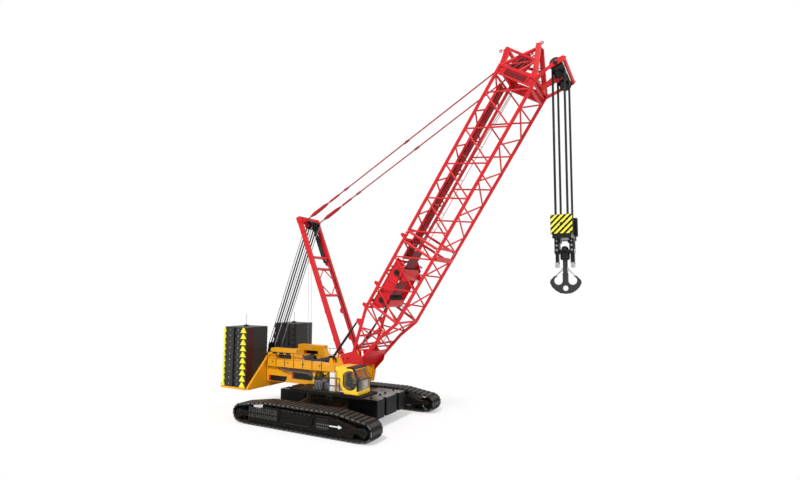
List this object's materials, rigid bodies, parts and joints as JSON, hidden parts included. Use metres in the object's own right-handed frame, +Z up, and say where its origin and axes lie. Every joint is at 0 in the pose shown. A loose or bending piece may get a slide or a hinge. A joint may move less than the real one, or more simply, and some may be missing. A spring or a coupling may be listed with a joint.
{
  "type": "crawler crane",
  "caption": "Crawler crane with a lattice boom held by a mast and pendant bars, stacked rear counterweights and a double hook on rope falls.",
  "frame": {"origin": "on the ground under the slewing axis, midway between the tracks", "axes": "+X towards the boom side, +Y to the left of the crane, +Z up"},
  "size_m": [24.6288, 10.21, 24.5943],
  "materials": {
    "black_paint": "gloss black paint",
    "dark_steel": "worn dark steel",
    "yellow_paint": "gloss yellow paint",
    "red_paint": "gloss red paint",
    "grey_paint": "matt dark grey paint",
    "rail_paint": "grey paint",
    "rope": "greased wire rope",
    "white_paint": "gloss white paint",
    "seat": "black fabric",
    "steel": "bare steel"
  },
  "bodies": {
    "undercarriage": {"carbody": "black_paint", "carbody_weights": "grey_paint", "idler_left": "dark_steel", "idler_right": "dark_steel", "rollers_left": "dark_steel", "rollers_right": "dark_steel", "sprocket_left": "dark_steel", "sprocket_right": "dark_steel", "track_frame_left": "black_paint", "track_frame_right": "black_paint", "track_left": "dark_steel", "track_right": "dark_steel"},
    "cab_door": {"cab_door": "yellow_paint"},
    "mast": {"mast": "red_paint", "mast_sheaves": "black_paint", "mast_cylinder": "black_paint"},
    "pendants": {"pendants": "red_paint"},
    "boom": {"boom_base": "red_paint", "boom_base_lacing": "red_paint", "boom_catwalk": "red_paint", "boom_head": "red_paint", "boom_top_lacing": "red_paint", "boom_top_section": "red_paint", "boom_winches": "red_paint", "head_sheaves": "black_paint"},
    "backstop_barrels": {"backstop_barrels": "black_paint"},
    "backstop_rods": {"backstop_rods": "steel"},
    "hook_block": {"falls": "rope", "hook_block": "black_paint"},
    "hook": {"hook": "dark_steel"},
    "platform": {"cab_deck": "black_paint", "cab_interior": "seat", "cab_shell": "yellow_paint", "counterweight_stack_left": "grey_paint", "counterweight_stack_right": "grey_paint", "counterweight_tray": "yellow_paint", "engine_house": "yellow_paint", "handrails": "rail_paint", "hinge_pins": "steel", "platform_frame": "yellow_paint", "platform_winches": "black_paint", "rear_sheaves": "black_paint", "side_tank": "white_paint", "valve_boxes": "grey_paint"}
  },
  "joints": [
    {"name": "slew", "type": "hinge", "parent": "undercarriage", "child": "platform", "pos_m": [0, 0, 1.9], "axis": [0, 0, 1], "continuous": true},
    {"name": "boom_luff", "type": "hinge", "parent": "platform", "child": "boom", "pos_m": [1.57, 0, 3.48], "axis": [0, -1, 0], "range_deg": [-27.8, 24]},
    {"name": "mast_lean", "type": "hinge", "parent": "platform", "child": "mast", "pos_m": [0.6, 0, 4.44], "axis": [0, -1, 0], "range_deg": [-31.55, 27.29]},
    {"name": "pendant_swing", "type": "hinge", "parent": "mast", "child": "pendants", "pos_m": [-3.06897, 0, 14.251], "axis": [0, -1, 0], "range_deg": [-4.11, 4.7]},
    {"name": "backstop_tilt", "type": "hinge", "parent": "platform", "child": "backstop_barrels", "pos_m": [0.1, 0, 4.236], "axis": [0, -1, 0], "range_deg": [-25.54, 22.1]},
    {"name": "backstop_stroke", "type": "slide", "parent": "backstop_barrels", "child": "backstop_rods", "axis": [0.6078, 0, 0.7941], "range_m": [-0.6759, 0.7814]},
    {"name": "hook_block_plumb", "type": "hinge", "parent": "boom", "child": "hook_block", "pos_m": [15.61785, 0, 22.16988], "axis": [0, -1, 0], "range_deg": [-24.4, 28.2]},
    {"name": "hook_swivel", "type": "hinge", "parent": "hook_block", "child": "hook", "pos_m": [15.61785, 0, 11.4], "axis": [0, 0, 1], "continuous": true},
    {"name": "cab_door_swing", "type": "hinge", "parent": "platform", "child": "cab_door", "pos_m": [2.546, -3.866, 3.3], "axis": [0, 0, -1], "range_deg": [0, 85]}
  ],
  "couplings": [
    {"joint": "mast_lean", "follows": "boom_luff", "ratio": 1.1206},
    {"joint": "pendant_swing", "follows": "boom_luff", "ratio": -0.1545},
    {"joint": "backstop_tilt", "follows": "boom_luff", "ratio": 0.9042},
    {"joint": "backstop_stroke", "follows": "boom_luff", "m_per_rad": -1.5898},
    {"joint": "hook_block_plumb", "follows": "boom_luff", "ratio": -1}
  ]
}
